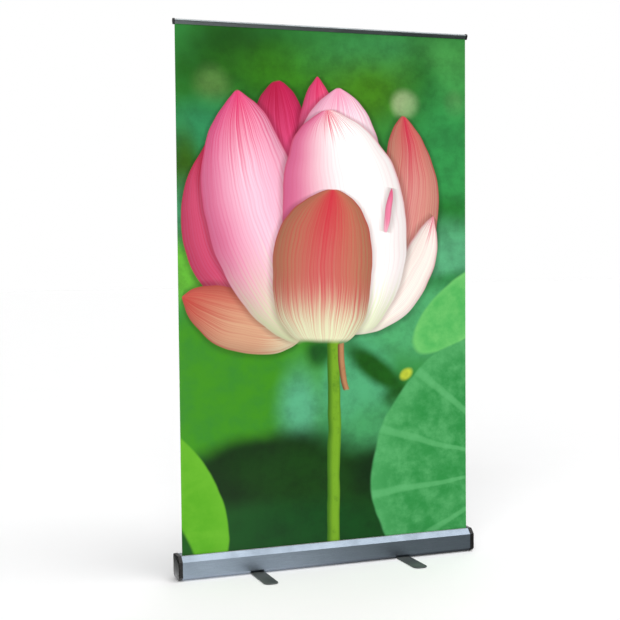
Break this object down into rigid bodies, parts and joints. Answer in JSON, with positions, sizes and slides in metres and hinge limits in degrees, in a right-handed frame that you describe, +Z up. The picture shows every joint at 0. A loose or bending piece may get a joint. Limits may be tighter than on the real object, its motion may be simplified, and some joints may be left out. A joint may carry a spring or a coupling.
{
  "type": "roll-up banner stand",
  "caption": "Retractable banner stand: film banner on a spring roller in an aluminium housing, telescopic pole, snap-open top rail, swivel feet.",
  "frame": {"origin": "on the floor, at the centre of the footprint of housing and feet", "axes": "+X along the banner to the right as seen from the front, +Y to the back, +Z up"},
  "size_m": [1.242, 0.41, 2.099],
  "materials": {
    "housing_aluminium": "satin anodised",
    "rail_aluminium": "satin anodised",
    "pole_aluminium": "satin anodised",
    "roller_aluminium": "mill finish",
    "end_cap_plastic": "glossy with softly rounded edges",
    "rail_cap_plastic": "matt",
    "fitting_plastic": "fine moulded grain",
    "foot_paint": "dark grey powder coat",
    "pad_rubber": "matt",
    "zinc_steel": "zinc plated",
    "spring_steel": "oiled spring wire",
    "white_nylon": "matt",
    "film_back": "matt grey-white",
    "film_print": "printed film, soft sheen"
  },
  "bodies": {
    "base": {"housing": "housing_aluminium", "end_cap_left": "end_cap_plastic", "end_cap_right": "end_cap_plastic", "end_cap_screws": "zinc_steel", "spring_shaft": "zinc_steel", "spring_anchor": "white_nylon", "torsion_spring": "spring_steel", "idle_bush": "white_nylon", "leader_strip": "film_back", "pole_socket": "fitting_plastic", "socket_screws": "zinc_steel", "foot_pivot_screws": "zinc_steel", "foot_washers": "white_nylon", "foot_nuts": "zinc_steel", "pole_lower": "pole_aluminium", "pole_foot_plug": "fitting_plastic", "banner": "film_print"},
    "roller": {"roller_tube": "roller_aluminium", "roller_plug_left": "white_nylon", "roller_plug_right": "white_nylon", "shaft_bush": "white_nylon", "idle_axle_pin": "zinc_steel", "wound_banner": "film_back"},
    "left_foot": {"foot_left": "foot_paint", "foot_left_pads": "pad_rubber"},
    "right_foot": {"foot_right": "foot_paint", "foot_right_pads": "pad_rubber"},
    "middle_section": {"pole_middle": "pole_aluminium", "pole_middle_guide": "white_nylon"},
    "upper_section": {"pole_upper": "pole_aluminium", "pole_upper_guide": "white_nylon", "pole_hook": "fitting_plastic", "rail_back": "rail_aluminium", "rail_cap_left": "rail_cap_plastic", "rail_cap_right": "rail_cap_plastic", "rail_grip_strip": "pad_rubber"},
    "lower_collar": {"pole_collar_lower": "fitting_plastic"},
    "upper_collar": {"pole_collar_upper": "fitting_plastic"},
    "rail_jaw": {"rail_front": "rail_aluminium"}
  },
  "joints": [
    {"name": "foot_left_swivel", "type": "hinge", "parent": "base", "child": "left_foot", "pos_m": [-0.307, 0, 0.003], "axis": [0, 0, 1], "range_deg": [0, 90]},
    {"name": "foot_right_swivel", "type": "hinge", "parent": "base", "child": "right_foot", "pos_m": [0.307, 0, 0.003], "axis": [0, 0, -1], "range_deg": [0, 90]},
    {"name": "pole_middle_slide", "type": "slide", "parent": "base", "child": "middle_section", "axis": [0, 0, 1], "range_m": [-0.6, 0], "deforming": ["banner"]},
    {"name": "pole_upper_slide", "type": "slide", "parent": "middle_section", "child": "upper_section", "axis": [0, 0, 1], "range_m": [-0.6, 0]},
    {"name": "roller_spin", "type": "hinge", "parent": "base", "child": "roller", "pos_m": [0, 0.005, 0.04], "axis": [1, 0, 0], "range_deg": [0, 4170], "stiffness_Nm_per_rad": 0.0034, "springref_deg": 5557.69},
    {"name": "rail_jaw_hinge", "type": "hinge", "parent": "upper_section", "child": "rail_jaw", "pos_m": [0, -0.012, 2.09], "axis": [-1, 0, 0], "range_deg": [0, 35]},
    {"name": "collar_lower_twist", "type": "hinge", "parent": "base", "child": "lower_collar", "pos_m": [0, 0.0245, 0.74], "axis": [0, 0, 1], "range_deg": [0, 90]},
    {"name": "collar_upper_twist", "type": "hinge", "parent": "middle_section", "child": "upper_collar", "pos_m": [0, 0.0245, 1.41], "axis": [0, 0, 1], "range_deg": [0, 90]}
  ],
  "couplings": [
    {"joint": "pole_upper_slide", "follows": "pole_middle_slide", "ratio": 1},
    {"joint": "roller_spin", "follows": "pole_middle_slide", "rad_per_m": -121.21}
  ]
}
